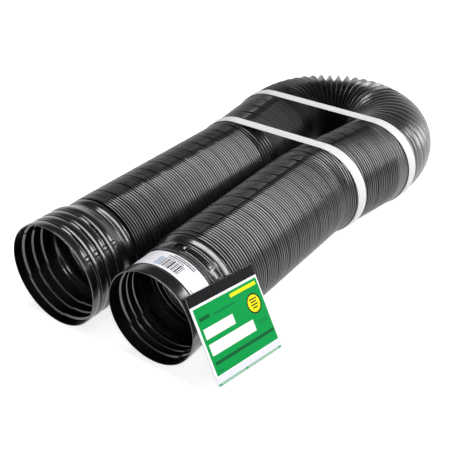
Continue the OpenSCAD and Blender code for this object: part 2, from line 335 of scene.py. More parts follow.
def make_shaded_slot_plastic():
    # The same polyethylene where unpolished pins of the mould press the slots: matt, and coloured a third to three
    # fifths of the cuff colour as painted shade in the slots
    material, tree, shader = plastic("matt_shaded_slot_polyethylene", 0.7, 0.15)
    grain = noise(tree, 900.0, 2.0)
    mix = add_node(tree, "ShaderNodeMix", {"Factor": grain.outputs["Fac"],
                                           "A": rgba([c * 0.3 for c in colours().cuffs]),
                                           "B": rgba([c * 0.6 for c in colours().cuffs])}, data_type="RGBA")
    tree.links.new(mix.outputs["Result"], shader.inputs["Base Color"])
    return material


# ------------------------------------------------------ pleated sleeve tree


def pleated_sleeve_tree():
    """A closed sleeve along a path, from a table of stations held in the object's loose points.

    A station point is (distance along the path, drop below the crest, tightness); the edges of
    the mesh are the path. Tightness is how far a groove closes up on the pressed side."""
    tree = bpy.data.node_groups.new("pleated_sleeve", "GeometryNodeTree")
    face = tree.interface
    face.new_socket("Geometry", in_out="INPUT", socket_type="NodeSocketGeometry")
    for name, kind, value in (
        ("Stations", "NodeSocketInt", 10), ("Sides", "NodeSocketInt", 96),
        ("Pipe radius", "NodeSocketFloat", 0.0585), ("Right side", "NodeSocketFloat", 1.0),
        ("Pressed from", "NodeSocketFloat", -2.0), ("Pressed to", "NodeSocketFloat", 0.1),
        ("Waviness", "NodeSocketFloat", 0.0002), ("Material", "NodeSocketMaterial", None),
    ):
        socket = face.new_socket(name, in_out="INPUT", socket_type=kind)
        if value is not None:
            socket.default_value = value
    face.new_socket("Geometry", in_out="OUTPUT", socket_type="NodeSocketGeometry")
    group = tree.nodes.new("NodeGroupInput").outputs

    def calc(operation, a, b=0.0, c=0.0):
        return math_node(tree, operation, a, b, c)

    def vector(operation, a, b=None, scale=None):
        inputs = {0: a}
        if b is not None:
            inputs[1] = b
        if scale is not None:
            inputs["Scale"] = scale
        return add_node(tree, "ShaderNodeVectorMath", inputs, operation=operation)

    rings = calc("ADD", group["Stations"], 1.0)
    columns = calc("ADD", group["Sides"], 1.0)
    grid = add_node(tree, "GeometryNodeMeshGrid", {"Size X": 1.0, "Size Y": 1.0,
                                                   "Vertices X": columns, "Vertices Y": rings})
    position = tree.nodes.new("GeometryNodeInputPosition").outputs[0]
    split = add_node(tree, "ShaderNodeSeparateXYZ", {0: position}).outputs
    column = calc("ROUND", calc("MULTIPLY", calc("ADD", split[0], 0.5), group["Sides"]))
    ring = calc("ROUND", calc("MULTIPLY", calc("ADD", split[1], 0.5), group["Stations"]))
    ring = calc("MODULO", ring, group["Stations"])
    # station table
    table = add_node(tree, "GeometryNodeSampleIndex", {"Geometry": group["Geometry"], "Index": ring},
                     data_type="FLOAT_VECTOR")
    tree.links.new(position, table.inputs["Value"])
    row = add_node(tree, "ShaderNodeSeparateXYZ", {0: table.outputs[0]}).outputs
    # angle round the pipe, with the seam at the bottom
    angle = calc("SUBTRACT", calc("MULTIPLY", calc("DIVIDE", column, group["Sides"]), math.tau), math.pi / 2)
    side, up = calc("COSINE", angle), calc("SINE", angle)
    from_top = calc("ARCTAN2", calc("MULTIPLY", side, group["Right side"]), up)
    rise = add_node(tree, "ShaderNodeMapRange", {0: from_top, 1: calc("SUBTRACT", group["Pressed from"], 0.35),
                                                 2: group["Pressed from"]}, interpolation_type="SMOOTHSTEP")
    fall = add_node(tree, "ShaderNodeMapRange", {0: from_top, 1: calc("ADD", group["Pressed to"], 0.06),
                                                 2: group["Pressed to"]}, interpolation_type="SMOOTHSTEP")
    pressed = calc("MULTIPLY", calc("MULTIPLY", rise.outputs[0], fall.outputs[0]), row[2])
    drop = calc("MULTIPLY", row[1], calc("SUBTRACT", 1.0, pressed))
    # rings wander a little along the pipe, as stacked pleats do
    wander_at = add_node(tree, "ShaderNodeCombineXYZ", {0: calc("MULTIPLY", side, 1.5), 1: calc("MULTIPLY", up, 1.5),
                                                        2: calc("MULTIPLY", row[0], 60.0)}).outputs[0]
    wander = add_node(tree, "ShaderNodeTexNoise", {"Vector": wander_at, "Scale": 1.0, "Detail": 1.0}).outputs["Fac"]
    along = calc("ADD", row[0], calc("MULTIPLY", calc("SUBTRACT", wander, 0.5), group["Waviness"]))
    path = add_node(tree, "GeometryNodeMeshToCurve", {"Mesh": group["Geometry"]})
    spot = add_node(tree, "GeometryNodeSampleCurve", {"Curves": path.outputs[0], "Length": along},
                    mode="LENGTH", data_type="FLOAT")
    right = vector("NORMALIZE", vector("CROSS_PRODUCT", spot.outputs["Tangent"], (0.0, 0.0, 1.0)).outputs[0]).outputs[0]
    radius = calc("SUBTRACT", group["Pipe radius"], drop)
    offset = vector("SCALE", right, scale=calc("MULTIPLY", radius, side)).outputs[0]
    lift = add_node(tree, "ShaderNodeCombineXYZ", {2: calc("MULTIPLY", radius, up)}).outputs[0]
    where = vector("ADD", vector("ADD", spot.outputs["Position"], offset).outputs[0], lift).outputs[0]
    placed = add_node(tree, "GeometryNodeSetPosition", {"Geometry": grid.outputs["Mesh"], "Position": where})
    # how far a point lies in its groove is stored as drop, which the plastic uses to paint shade into the grooves
    marked = add_node(tree, "GeometryNodeStoreNamedAttribute", {"Geometry": placed.outputs[0], "Name": "drop",
                                                                "Value": drop}, data_type="FLOAT", domain="POINT")
    merged = add_node(tree, "GeometryNodeMergeByDistance", {"Geometry": marked.outputs[0], "Distance": 2e-6})
    real = add_node(tree, "GeometryNodeRealizeInstances", {"Geometry": merged.outputs[0]})
    dressed = add_node(tree, "GeometryNodeSetMaterial", {"Geometry": real.outputs[0], "Material": group["Material"]})
    end = tree.nodes.new("NodeGroupOutput")
    tree.links.new(dressed.outputs[0], end.inputs[0])
    return tree


def pleated_sleeve(name, stations, right_side, pressed, waviness, material):
    """A sleeve that follows the pipe's path; stations are (distance, drop, tightness) in mm."""
    first, last = min(s[0] for s in stations) - 4, max(s[0] for s in stations) + 4
    first, last = max(first, 0), min(last, PATH_LENGTH)
    points = []
    s = 0.0
    height = sizes().axis_height
    while s < PATH_LENGTH:
        _, x, y, _ = place_at(s)
        points.append((x * MM, y * MM, height))
        s += 1.0
    _, x, y, _ = place_at(PATH_LENGTH)
    points.append((x * MM, y * MM, height))
    rows = [(a * MM, b * MM, c) for a, b, c in stations]
    edges = [(len(rows) + i, len(rows) + i + 1) for i in range(len(points) - 1)]
    obj = new_object(name, rows + points, [], None, edges=edges)
    tree = bpy.data.node_groups.get("pleated_sleeve") or pleated_sleeve_tree()
    modifier = obj.modifiers.new("sleeve", "NODES")
    modifier.node_group = tree
    ids = {item.name: item.identifier for item in tree.interface.items_tree if item.in_out == "INPUT"}
    for key, value in (("Stations", len(rows)), ("Sides", sizes().sides), ("Pipe radius", sizes().pipe_radius),
                       ("Right side", right_side), ("Pressed from", pressed[0]), ("Pressed to", pressed[1]),
                       ("Waviness", waviness), ("Material", material)):
        modifier[ids[key]] = value
    bake_modifiers(obj)
    outward(obj)
    smooth(obj, 22)
    return obj


def folded_rows(edges, rng, forward=True):
    """Outside and inside stations of folded pleats, which lean away from the mouth; forward when
    the mouth comes first. Every sixth groove is wider: six rings is one step of the mould."""
    z = sizes()
    depth = z.pleat_depth / MM
    outside, inside = [], []
    for k, (a, b) in enumerate(zip(edges, edges[1:])):
        l = b - a
        proud = float(rng.uniform(0.0, 0.16))
        wide_start, wide_end = k % 6 == (0 if forward else 5), k % 6 == (5 if forward else 0)
        fore = 0.36 if wide_start else 0.27
        aft = 0.76 if wide_end else 0.84
        crest = 0.62 + float(rng.uniform(-0.03, 0.03))
        # each pleat leans back: a slope towards the mouth, a narrow crest and a steep back
        shape = [
            (fore, 1.5 + proud, 0.1 if wide_start else 0.8),
            (fore + 0.05, 0.03 + 0.48 * l * (crest - fore - 0.05) + proud, 0.65),
            (crest, 0.03 + proud, 0.0),
            (crest + 0.05, 0.03 + proud, 0.0),
            ((crest + aft + 0.05) / 2, 0.5 + proud, 0.65),
            (aft, 1.5 + proud, 0.1 if wide_end else 0.8),
        ]
        if not forward:
            shape = [(1 - part, drop, closed) for part, drop, closed in shape[::-1]]
        outside.append((a, depth, 0.0 if k % 6 == 0 else 0.88))
        outside += [(a + l * part, drop, closed) for part, drop, closed in shape]
        # inside, a chamfer towards the mouth catches the light on every ridge
        ridge = depth + z.wall / MM
        inside.append((a, ridge, 0.0))
        inside += [(a + l * 0.4, 2.6, 0.0), (a + l * 0.75, ridge - 1.0, 0.0)] if forward else [
            (a + l * 0.25, ridge - 1.0, 0.0), (a + l * 0.6, 2.6, 0.0)]
    end = edges[-1]
    outside.append((end, depth, 0.0))
    inside.append((end, depth + z.wall / MM, 0.0))
    return outside + inside[::-1]


def open_rows(edges):
    """Stations of the loop: deep open pleats that lie over like shingles past the far side."""
    z = sizes()
    depth = z.pleat_depth / MM
    outside, inside = [], []
    for a, b in zip(edges, edges[1:]):
        l = b - a
        lie = min(max((a - 596) / 44, 0), 1)
        lie = lie * lie * (3 - 2 * lie)
        shapes = (
            (0.0, depth, 2.6), (0.05, depth * 0.93, 0.9), (0.12, depth * 0.76, 0.25), (0.27, depth * 0.46, 0.03),
            (0.45, depth * 0.04, 0.08), (0.5, 0.0, 0.12), (0.55, depth * 0.04, 0.17), (0.73, depth * 0.46, 0.36),
            (0.88, depth * 0.76, 0.6), (0.95, depth * 0.93, 0.85),
        )
        for part, deep, laid in shapes:
            outside.append((a + l * part, deep + (laid - deep) * lie, 0.0))
        inside += [(a, depth + z.wall / MM, 0.0), (a + l * 0.5, 1.6 + 2.4 * lie, 0.0)]
    end = edges[-1]
    outside.append((end, depth, 0.0))
    inside.append((end, depth + z.wall / MM, 0.0))
    return outside + inside[::-1]


class PIPE_OT_pleats(bpy.types.Operator):
    """Folded pleats of both legs and the open pleats of the loop"""

    bl_idname = "pipe.pleats"
    bl_label = "Pleats"

    def execute(self, context):
        material = make_pleat_plastic()
        cuff = sizes().cuff_length / MM
        rng = np.random.default_rng(7)
        starts = [a[0] for a in ARC_STARTS]
        left = [cuff + 3.65 * k for k in range(67)] + pleat_edges(starts[1], starts[2])[1:]
        left += [starts[2] + 3.65 * k for k in range(1, 25)]
        left_leg = pleated_sleeve("left_leg_pleats", folded_rows(left, rng), 1.0, (-2.1, 0.1), 0.0012, material)
        finish_piece(left_leg, "pipe_plastic", "pipe")
        loop = pleated_sleeve("loop_pleats", open_rows(pleat_edges(LOOP_START, LOOP_END)), 1.0, (-2.1, 0.1),
                              0.0008, material)
        finish_piece(loop, "pipe_plastic")
        right = [LOOP_END + 3.65 * k for k in range(28)] + pleat_edges(starts[-3], starts[-2])[1:]
        right += [starts[-2] + 3.65 * k for k in range(1, 61)]
        right_leg = pleated_sleeve("right_leg_pleats", folded_rows(right, rng, False), -1.0, (-2.1, 0.0), 0.0012, material)
        finish_piece(right_leg, "pipe_plastic")
        return {"FINISHED"}


# ------------------------------------------------------------------- cuffs


def rounded(points, rounds=2):
    """The (distance, radius) line with its corners cut round; the ends stay."""
    points = [np.array(p, float) for p in points]
    for _ in range(rounds):
        cut = [points[0]]
        for p, q in zip(points, points[1:]):
            cut += [p * 0.75 + q * 0.25, p * 0.25 + q * 0.75]
        cut.append(points[-1])
        points = cut
    return points


def cuff_sleeve(name, place, ring, sides, material, shift):
    """A closed ring of (distance, radius) turned round a straight axis. shift(s, r, phi) gives
    the change of distance and of radius at phi, the angle from the top toward +X."""
    _, x0, y0, heading = place
    along = np.array([-math.sin(heading), math.cos(heading), 0.0])
    right = np.array([math.cos(heading), math.sin(heading), 0.0])
    centre = np.array([x0, y0, sizes().axis_height / MM])
    sign = 1.0 if right[0] > 0 else -1.0
    vertices, faces = [], []
    n = len(ring)
    for j in range(sides):
        a = math.tau * j / sides - math.pi / 2
        phi = math.degrees(math.atan2(math.cos(a) * sign, math.sin(a)))
        for s, r in ring:
            ds, dr = shift(s, r, phi)
            vertices.append((centre + along * (s + ds) + right * ((r + dr) * math.cos(a))
                             + np.array([0, 0, (r + dr) * math.sin(a)])) * MM)
    for j in range(sides):
        for i in range(n):
            a, b = j * n + i, j * n + (i + 1) % n
            c, d = ((j + 1) % sides) * n + (i + 1) % n, ((j + 1) % sides) * n + i
            faces.append((a, b, c, d))
    obj = new_object(name, vertices, faces, material)
    outward(obj)
    return obj


def socket_lines():
    """Outside and inside lines of the left cuff."""
    r = sizes().socket_radius / MM
    outside = [(0.0, r - 1.1), (0.15, r - 0.55), (0.7, r - 0.35)]
    for k in range(4):
        b, top = k * 13.3, r if k == 0 else r - 0.3
        outside += [(b + 3.4, top), (b + 7.4, top), (b + 10.3, top - 0.95)]
        if k < 3:
            outside += [(b + 10.9, top - 0.5), (b + 11.3, top - 0.6), (b + 11.7, top - 3.0), (b + 12.9, top - 3.1),
                        (b + 13.5, r - 1.1), (b + 13.9, r - 0.75), (b + 14.4, r - 1.05)]
        else:
            outside += [(b + 11.2, top - 1.2)]
    outside += [(56.5, 57.9), (59.0, 57.2), (61.5, 56.0), (63.4, 55.7), (64.6, 56.2), (67.6, 57.7), (71.0, 58.3),
                (73.0, 58.0), (73.9, 56.6), (75.6, 50.0)]
    inside = [(0.0, r - 1.25), (0.2, r - 1.5), (10.9, r - 1.5)]
    for k in range(3):
        b = k * 13.3
        inside += [(b + 11.5, r - 2.6), (b + 12.4, r - 4.3), (b + 12.9, r - 4.3), (b + 13.3, r - 2.8),
                   (b + 14.2, r - 2.3), (b + 24.2, r - 2.3)]
    inside += [(51.5, r - 2.3), (54.5, r - 3.4), (57.5, 56.0), (60.6, 54.6), (63.8, 54.6), (66.0, 56.0),
               (69.3, 56.4), (72.2, 55.8), (73.8, 52.0), (74.3, 49.1), (75.6, 49.1)]
    return outside, inside


def spigot_lines():
    """Outside and inside lines of the right cuff."""
    r = sizes().spigot_radius / MM
    outside = [(0.0, r - 0.95), (0.15, r - 0.5), (0.9, r - 0.3), (2.4, r), (14.6, r), (15.2, r - 0.5)]
    for k in range(3):
        b = 15.2 + k * 9.6
        outside += [(b + 0.8, r - 1.8), (b + 2.0, r - 1.8), (b + 3.0, r - 0.6), (b + 9.2, r - 0.6)]
    outside += [(44.8, 53.4), (46.8, 53.4), (47.6, 55.0), (48.6, 56.2), (60.8, 56.2), (62.0, 54.0), (64.6, 54.2),
                (66.4, 55.8), (72.6, 58.3), (74.4, 58.0), (75.1, 56.0), (75.6, 50.0)]
    inside = [(0.0, r - 1.05), (0.2, r - 1.4), (14.6, r - 1.4)]
    for k in range(3):
        b = 15.2 + k * 9.6
        inside += [(b + 0.2, r - 2.2), (b + 1.1, r - 3.5), (b + 1.8, r - 3.4), (b + 2.9, r - 2.1), (b + 8.4, r - 2.1)]
    inside += [(45.0, 52.0), (46.6, 52.0), (48.0, 53.0), (49.4, 53.6), (60.4, 53.6), (61.6, 52.6), (65.2, 52.6),
               (68.0, 55.8), (71.5, 56.4), (73.4, 55.8), (74.2, 52.0), (74.8, 49.1), (75.6, 49.1)]
    return outside, inside


def jog(phi, at, width=5.0):
    """0 before the angle, 1 after it."""
    t = min(max((phi - at) / width + 0.5, 0), 1)
    return t * t * (3 - 2 * t)


def socket_shift(s, r, phi):
    """The moulded ribs step sideways where the mould's quarters meet."""
    if r < 59.4 and 9 < s < 56:
        step = 1.3 * (jog(phi, -60) - jog(phi, 25)) + 1.6 * (1 - jog(phi, -118)) * (1 if phi < 0 else 0)
        return -step, 0.0
    return 0.0, 0.0


def spigot_shift(s, r, phi):
    if r < 53.3 and 10 < s < 48:
        return -2.3 * (1 - jog(phi, -130)) * (1 if phi < 0 else 0) - 2.3 * jog(phi, 150), 0.0
    return 0.0, 0.0


def bent_bar(name, place, r0, r1, s0, s1, phi0, phi1, material, bevel=0.35, slope=0.0):
    """A bar bent round a cuff between two angles from the top toward +X, with soft edges; its top
    falls by slope towards the mouth."""
    _, x0, y0, heading = place
    along = np.array([-math.sin(heading), math.cos(heading), 0.0])
    centre = np.array([x0, y0, sizes().axis_height / MM])
    count = max(2, int(abs(phi1 - phi0) / 3) + 1)
    vertices, faces = [], []
    for i in range(count + 1):
        phi = math.radians(phi0 + (phi1 - phi0) * i / count)
        out = np.array([math.sin(phi), 0, math.cos(phi)])
        out = out - along * float(out @ along)
        out /= np.linalg.norm(out)
        for s, r in ((s0, r0), (s0, r1 - slope), (s1, r1), (s1, r0)):
            vertices.append((centre + along * s + out * r) * MM)
    for i in range(count):
        for k in range(4):
            a, b = i * 4 + k, i * 4 + (k + 1) % 4
            faces.append((a, b, b + 4, a + 4))
    faces += [(0, 1, 2, 3), tuple(count * 4 + k for k in (3, 2, 1, 0))]
    obj = new_object(name, vertices, faces, material)
    outward(obj)
    if bevel:
        m = obj.modifiers.new("edges", "BEVEL")
        m.width, m.segments, m.limit_method, m.angle_limit = bevel * MM, 2, "ANGLE", math.radians(40)
        bake_modifiers(obj)
    return obj


def arch_cutter(place, r0, r1, phi, s0, s1, half, width, material):
    """A cutter for the arch-shaped mark: two legs from s0 to s1 joined by a half circle (mm)."""
    _, x0, y0, heading = place
    along = np.array([-math.sin(heading), math.cos(heading), 0.0])
    centre = np.array([x0, y0, sizes().axis_height / MM])
    line = [(-half, s0, 0.0), (-half, s1, 0.0)]
    line += [(-half * math.cos(math.pi * k / 10), s1 + half * math.sin(math.pi * k / 10), math.pi * k / 10)
             for k in range(1, 10)]
    line += [(half, s1, math.pi), (half, s0, math.pi)]
    vertices, faces = [], []
    for across, s, turned in line:
        for side in (-width, width):
            q, d = across + side * math.cos(turned), s - side * math.sin(turned)
            for r in (r0, r1):
                angle = math.radians(phi) + q / sizes().socket_radius * MM
                out = np.array([math.sin(angle), 0, math.cos(angle)])
                out = out - along * float(out @ along)
                vertices.append((centre + along * d + out / np.linalg.norm(out) * r) * MM)
    for i in range(len(line) - 1):
        a, b = 4 * i, 4 * i + 4
        faces += [(a, a + 1, b + 1, b), (a + 2, b + 2, b + 3, a + 3), (a, b, b + 2, a + 2),
                  (a + 1, a + 3, b + 3, b + 1)]
    n = 4 * (len(line) - 1)
    faces += [(0, 2, 3, 1), (n, n + 1, n + 3, n + 2)]
    obj = new_object("slot", vertices, faces, material)
    outward(obj)
    return obj


def carve(obj, cutters):
    """Cuts the cutters out of the object."""
    cutter = join("cutters", cutters)
    m = obj.modifiers.new("cut", "BOOLEAN")
    m.operation, m.solver, m.object, m.material_mode = "DIFFERENCE", "EXACT", cutter, "TRANSFER"
    bake_modifiers(obj)
    bpy.data.objects.remove(cutter)
    bm = bmesh.new()
    bm.from_mesh(obj.data)
    bmesh.ops.remove_doubles(bm, verts=bm.verts, dist=1e-6)
    bmesh.ops.dissolve_degenerate(bm, edges=bm.edges, dist=1e-6)
    bm.to_mesh(obj.data)
    bm.free()


SPIGOT_PLACE = (0.0, ARC_STARTS[-1][1], ARC_STARTS[-1][2], math.pi + ARC_STARTS[-1][3])


class PIPE_OT_socket_cuff(bpy.types.Operator):
    """Left cuff: four bands, narrow grooves with slots, a shoulder and a bead"""

    bl_idname = "pipe.socket_cuff"
    bl_label = "Socket cuff"

    def execute(self, context):
        material = MATERIALS.get("polished_mould_polyethylene") or make_cuff_plastic()
        outside, inside = socket_lines()
        ring = rounded(outside) + rounded(inside)[::-1]
        cuff = cuff_sleeve("socket_cuff", LEFT_MOUTH, ring, 144, material, socket_shift)
        r = sizes().socket_radius / MM
        # the slots' cut faces take the matt slot plastic, whose dark colour is painted shade
        matt = make_shaded_slot_plastic()
        cutters = []
        for k in range(3):
            for phi in (50.3, 54.7):
                cutters.append(bent_bar("slot", LEFT_MOUTH, r - 1.3, r + 3, 6.1 + 13.3 * k, 12.7 + 13.3 * k,
                                        phi - 0.85, phi + 0.85, matt, 0))
        cutters.append(arch_cutter(LEFT_MOUTH, r - 1.5, r + 3, 52.5, 45.7, 49.2, 2.2, 0.75, matt))
        carve(cuff, cutters)
        smooth(cuff, 38)
        finish_piece(cuff, "pipe_plastic")
        return {"FINISHED"}


class PIPE_OT_spigot_cuff(bpy.types.Operator):
    """Right cuff: plain mouth, ribs, latch ring with its bars and pocket, and a bead"""

    bl_idname = "pipe.spigot_cuff"
    bl_label = "Spigot cuff"

    def execute(self, context):
        material = MATERIALS.get("polished_mould_polyethylene") or make_cuff_plastic()
        outside, inside = spigot_lines()
        ring = rounded(outside) + rounded(inside)[::-1]
        cuff = cuff_sleeve("spigot_cuff", SPIGOT_PLACE, ring, 144, material, spigot_shift)
        matt = MATERIALS["matt_shaded_slot_polyethylene"]
        # the pockets take the matt slot plastic, whose dark colour is painted shade
        pockets = [bent_bar("pocket", SPIGOT_PLACE, 54.6, 62, 51.4, 60.7, a - 10, a, matt, 0) for a in (0, 180)]
        carve(cuff, pockets)
        smooth(cuff, 38)
        finish_piece(cuff, "pipe_plastic")
        bars = []
        for a in (0, 180):
            for r0, r1, s0, s1, p0, p1, soft, slope in (
                (55.2, 57.5, 49.0, 58.8, 7.5, 40.0, 0.5, 0.0),
                (55.2, 58.2, 48.8, 50.4, 7.0, 40.5, 0.3, 0.7), (55.2, 58.2, 57.4, 59.0, 7.0, 40.5, 0.3, 0.7),
                (54.0, 58.3, 52.4, 60.8, 42.0, 52.5, 0.4, 2.6), (54.0, 58.2, 51.6, 58.4, 0.4, 4.6, 0.4, 3.0),
                (55.4, 57.2, 49.2, 58.6, -30.0, -12.0, 0.5, 0.6),
            ):
                bars.append(bent_bar("bar", SPIGOT_PLACE, r0, r1, s0, s1, p0 + a, p1 + a, material, soft, slope))
        latch = join("spigot_latch_bars", bars)
        smooth(latch, 38)
        finish_piece(latch, "pipe_plastic")
        return {"FINISHED"}


# ------------------------------------------------------------------ straps


def make_strap_plastic():
    # Polypropylene strapping: white, rolled flat and embossed with fine slanting lines
    material, tree, shader = plastic("embossed_polypropylene_strap", 0.42, 0.5)
    uv = add_node(tree, "ShaderNodeUVMap", uv_map="UVMap").outputs[0]
    xy = add_node(tree, "ShaderNodeSeparateXYZ", {0: uv}).outputs
    # uv is in metres; the embossing repeats every 1.6 mm both ways
    wave = []
    for sign in (1, -1):
        slant = math_node(tree, "ADD", xy[0], math_node(tree, "MULTIPLY", xy[1], sign))
        wave.append(math_node(tree, "SINE", math_node(tree, "MULTIPLY", slant, math.tau / 0.0016)))
    height = math_node(tree, "MULTIPLY", wave[0], wave[1])
    bump = add_node(tree, "ShaderNodeBump", {"Strength": 0.35, "Distance": 0.00015, "Height": height})
    tree.links.new(bump.outputs["Normal"], shader.inputs["Normal"])
    # painted shade: the hollows of the embossing are coloured up to 7% darker than the strap
    hollow_shade = add_node(tree, "ShaderNodeMix", {"Factor": ramp(tree, height, -1, 1, 0.0, 1.0),
                                            "A": rgba([c * 0.93 for c in colours().strap]),
                                            "B": rgba(colours().strap)}, data_type="RGBA")
    tree.links.new(hollow_shade.outputs["Result"], shader.inputs["Base Color"])
    return material


def leg_crossing(y, from_left):
    """Axis x and heading where a leg crosses y."""
    s = 300.0 if from_left else PATH_LENGTH - 290
    while place_at(s)[2] < y:
        s += 0.25 if from_left else -0.25
    _, x, _, heading = place_at(s)
    return x, heading


def strap_line(y, radius):
    """Closed line of a strap's edge in the plane at y, as points and running lengths (mm)."""
    xl, hl = leg_crossing(y, True)
    xr, hr = leg_crossing(y, False)
    z = sizes().axis_height / MM
    points = []
    for i in range(49):
        a = math.radians(90 + 180 * i / 48)
        points.append((xl + radius / abs(math.cos(hl)) * math.cos(a), y, z + radius * math.sin(a)))
    for i in range(1, 12):
        points.append((xl + (xr - xl) * i / 12, y, z - radius))
    for i in range(49):
        a = math.radians(-90 + 180 * i / 48)
        points.append((xr + radius / abs(math.cos(hr)) * math.cos(a), y, z + radius * math.sin(a)))
    for i in range(1, 12):
        points.append((xr + (xl - xr) * i / 12, y, z + radius))
    return points


class PIPE_OT_straps(bpy.types.Operator):
    """The two flat straps round both legs"""

    bl_idname = "pipe.straps"
    bl_label = "Straps"

    def execute(self, context):
        material = make_strap_plastic()
        for name, s in (("front_strap", 334), ("rear_strap", 437)):
            y = place_at(s)[2]
            w, t = trims().strap_width / MM / 2, trims().strap_thickness / MM
            r = sizes().pipe_radius / MM + 0.4
            inner, outer = r, r + t
            ring = [(-w, inner + 0.2), (-w, outer - 0.2), (-w + 0.3, outer), (-w * 0.5, outer), (0, outer),
                    (w * 0.5, outer), (w - 0.3, outer), (w, outer - 0.2), (w, inner + 0.2), (w - 0.3, inner),
                    (-w + 0.3, inner)]
            lines = [strap_line(y + dy, rr) for dy, rr in ring]
            m, n = len(lines[0]), len(ring)
            run = [0.0]
            for i in range(m):
                run.append(run[-1] + float(np.linalg.norm(np.subtract(lines[4][(i + 1) % m], lines[4][i]))))
            vertices, uv, faces = [], [], []
            for i in range(m + 1):
                for k in range(n):
                    vertices.append(np.array(lines[k][i % m]) * MM)
                    uv.append((run[i] * MM, ring[k][0] * MM))
            for i in range(m):
                for k in range(n):
                    a, b = i * n + k, i * n + (k + 1) % n
                    faces.append((a, b, b + n, a + n))
            strap = new_object(name + "_band", vertices, faces, material, uv)
            outward(strap)
            smooth(strap, 50)
            finish_piece(strap, "strap_plastic", name)
        return {"FINISHED"}


# ----------------------------------------------------------- label and tag


def box_mask(tree, u, v, u0, u1, v0, v1):
    """1 inside a rectangle of the print, in mm."""
    inside_u = math_node(tree, "COMPARE", u, (u0 + u1) / 2, (u1 - u0) / 2)
    inside_v = math_node(tree, "COMPARE", v, (v0 + v1) / 2, (v1 - v0) / 2)
    return math_node(tree, "MULTIPLY", inside_u, inside_v)


def disc_mask(tree, u, v, cu, cv, radius):
    du, dv = math_node(tree, "SUBTRACT", u, cu), math_node(tree, "SUBTRACT", v, cv)
    d2 = math_node(tree, "ADD", math_node(tree, "MULTIPLY", du, du), math_node(tree, "MULTIPLY", dv, dv))
    return math_node(tree, "LESS_THAN", d2, radius * radius)


def over(tree, below, colour, mask):
    """Prints a colour over what is below where the mask is 1."""
    node = add_node(tree, "ShaderNodeMix", {"Factor": mask, "A": below, "B": rgba(linear_colour(colour))},
                    data_type="RGBA")
    return node.outputs["Result"]


def any_mask(tree, masks):
    total = masks[0]
    for m in masks[1:]:
        total = math_node(tree, "MAXIMUM", total, m)
    return total


def print_axes(tree):
    uv = add_node(tree, "ShaderNodeUVMap", uv_map="UVMap").outputs[0]
    mm = add_node(tree, "ShaderNodeVectorMath", {0: uv, "Scale": 1000.0}, operation="SCALE").outputs[0]
    xy = add_node(tree, "ShaderNodeSeparateXYZ", {0: mm}).outputs
    return xy[0], xy[1]


def make_label_paper():
    # Coated label paper, printed with plain bars; u runs round the cuff and v along it, in mm
    material, tree, shader = plastic("coated_label_paper", 0.5, 0.4)
    u, v = print_axes(tree)
    colour = over(tree, rgba(colours().paper), "#b9c3d6", box_mask(tree, u, v, 25.0, 31.5, 3.0, 17.0))
    widths = (1.0, 0.6, 1.5, 0.6, 1.0, 2.0, 0.6, 1.2, 0.6, 1.6, 1.0, 0.6)
    bars, at = [], 32.0
    for w in widths:
        bars.append(box_mask(tree, u, v, at, at + w, 3.4, 17.2))
        at += w + 0.95
    colour = over(tree, colour, "#23242a", any_mask(tree, bars))
    lines = [box_mask(tree, u, v, 31.5, 52.0, 18.6, 19.5), box_mask(tree, u, v, 31.5, 63.5, 20.9, 22.3),
             box_mask(tree, u, v, 36.0, 63.0, 23.5, 24.7)]
    colour = over(tree, colour, "#3c3d44", any_mask(tree, lines))
    colour = over(tree, colour, "#a9abb5", box_mask(tree, u, v, 74.5, 79.0, 2.0, 3.3))
    tree.links.new(colour, shader.inputs["Base Color"])
    fibre = noise(tree, 700.0, 3.0)
    bump = add_node(tree, "ShaderNodeBump", {"Strength": 0.08, "Distance": 0.0001, "Height": fibre.outputs["Fac"]})
    tree.links.new(bump.outputs["Normal"], shader.inputs["Normal"])
    return material


class PIPE_OT_label(bpy.types.Operator):
    """The paper label over the spigot cuff's ribs"""

    bl_idname = "pipe.label"
    bl_label = "Label"

    def execute(self, context):
        material = make_label_paper()
        r = sizes().spigot_radius / MM - 0.6 + 0.1
        t = 0.3
        s0, l = 15.2 + 1.2, trims().label_length / MM
        phi1 = math.radians(52.5)
        phi0 = phi1 - trims().label_angle
        _, x0, y0, _ = SPIGOT_PLACE
        z0 = sizes().axis_height / MM
        cols, rows = 72, 24
        vertices, uv, faces = [], [], []
        for top in (1, 0):
            for j in range(rows + 1):
                s = s0 + l * j / rows
                # the paper sinks a little into the grooves between the ribs
                dip = 0.0
                for k in range(3):
                    dip = max(dip, 0.09 * math.exp(-((s - (15.2 + 9.6 * k + 1.4)) / 0.8) ** 2))
                for i in range(cols + 1):
                    phi = phi0 + (phi1 - phi0) * i / cols
                    rr = r + (t if top else 0) - dip * top
                    vertices.append(((x0 + rr * math.sin(phi)) * MM, (y0 + s) * MM, (z0 + rr * math.cos(phi)) * MM))
                    uv.append((r * (phi - phi0) * MM, (s - s0) * MM))
        n = (rows + 1) * (cols + 1)

        def at(j, i, top):
            return (0 if top else n) + j * (cols + 1) + i

        for j in range(rows):
            for i in range(cols):
                faces.append((at(j, i, 1), at(j, i + 1, 1), at(j + 1, i + 1, 1), at(j + 1, i, 1)))
                faces.append((at(j, i, 0), at(j + 1, i, 0), at(j + 1, i + 1, 0), at(j, i + 1, 0)))
        for j in range(rows):
            for i in (0, cols):
                faces.append((at(j, i, 1), at(j + 1, i, 1), at(j + 1, i, 0), at(j, i, 0)))
        for i in range(cols):
            for j in (0, rows):
                faces.append((at(j, i, 1), at(j, i + 1, 1), at(j, i + 1, 0), at(j, i, 0)))
        label = new_object("label_paper", vertices, faces, material, uv)
        outward(label)
        smooth(label, 40)
        finish_piece(label, "label_paper", "label")
        return {"FINISHED"}


# TAG_SHADOW_STRIP is the dark strip above the card's top edge, in mm: a painted shadow of the card on the pipe
TAG_TILT, TAG_TURN, TAG_Y, TAG_DROP, TAG_SHADOW_STRIP, TAG_T = 56.5, -9.0, 45.6, 48.0, 12.0, 0.6


